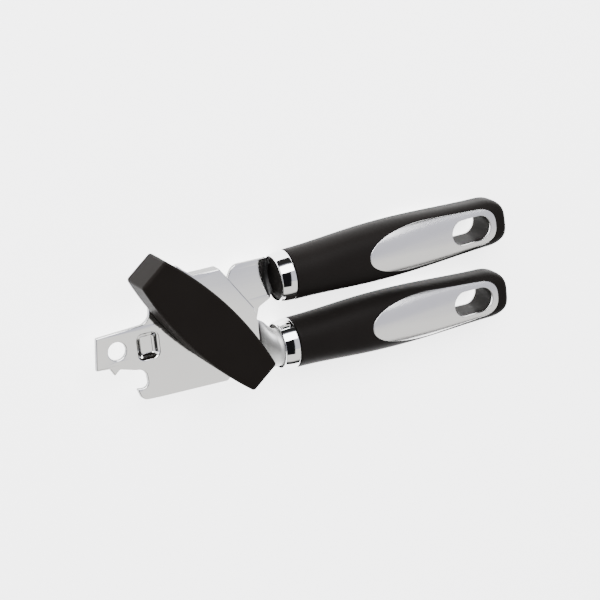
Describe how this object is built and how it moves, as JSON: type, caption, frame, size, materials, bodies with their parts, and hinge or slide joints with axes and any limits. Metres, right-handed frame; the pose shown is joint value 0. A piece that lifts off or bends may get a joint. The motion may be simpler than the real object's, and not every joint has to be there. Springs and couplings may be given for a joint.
{
  "type": "manual can opener",
  "caption": "Hand can opener with two grips, a bar turning knob, geared feed and cutting wheels, and a plate with a bottle opener and a lifting tab.",
  "frame": {"origin": "foot of the drive spindle, on the surface the opener lies on", "axes": "+X along the handles to their hang ends, +Y from the lower to the upper handle, +Z out of the plates to the knob"},
  "size_m": [0.2173, 0.0742, 0.0355],
  "materials": {
    "polished_steel": "mirror-polished stamped steel",
    "hardened_steel": "turned and ground, satin",
    "chrome_ring": "bright chrome plate",
    "bearing_brass": "turned, satin",
    "grip_black": "smooth satin moulding",
    "knob_black": "smooth satin moulding",
    "satin_silver": "satin silver"
  },
  "bodies": {
    "frame": {"front_plate": "polished_steel", "pivot_rivet": "hardened_steel", "pivot_washer": "bearing_brass", "spindle_bush": "bearing_brass", "lower_ferrule": "chrome_ring", "lower_grip": "grip_black", "lower_inlay_front": "satin_silver", "lower_inlay_back": "satin_silver"},
    "upper_handle": {"rear_plate": "polished_steel", "cutter_bush": "bearing_brass", "upper_ferrule": "chrome_ring", "upper_grip": "grip_black", "upper_inlay_front": "satin_silver", "upper_inlay_back": "satin_silver"},
    "drive": {"knob": "knob_black", "drive_spindle": "hardened_steel", "feed_wheel": "hardened_steel", "feed_spacer": "hardened_steel", "drive_gear": "hardened_steel"},
    "cutter": {"cutter_shaft": "hardened_steel", "cutting_wheel": "hardened_steel", "cutter_spacer": "hardened_steel", "cutter_gear": "hardened_steel"}
  },
  "joints": [
    {"name": "handle_open", "type": "hinge", "parent": "frame", "child": "upper_handle", "pos_m": [0.019, -0.013, 0.0104], "axis": [0, 0, 1], "range_deg": [0, 14]},
    {"name": "knob_turn", "type": "hinge", "parent": "frame", "child": "drive", "pos_m": [0, 0, 0.0104], "axis": [0, 0, 1], "continuous": true},
    {"name": "cutter_spin", "type": "hinge", "parent": "upper_handle", "child": "cutter", "pos_m": [0, -0.018, 0.0104], "axis": [0, 0, 1], "continuous": true}
  ],
  "couplings": [
    {"joint": "cutter_spin", "follows": "knob_turn", "ratio": -1}
  ]
}
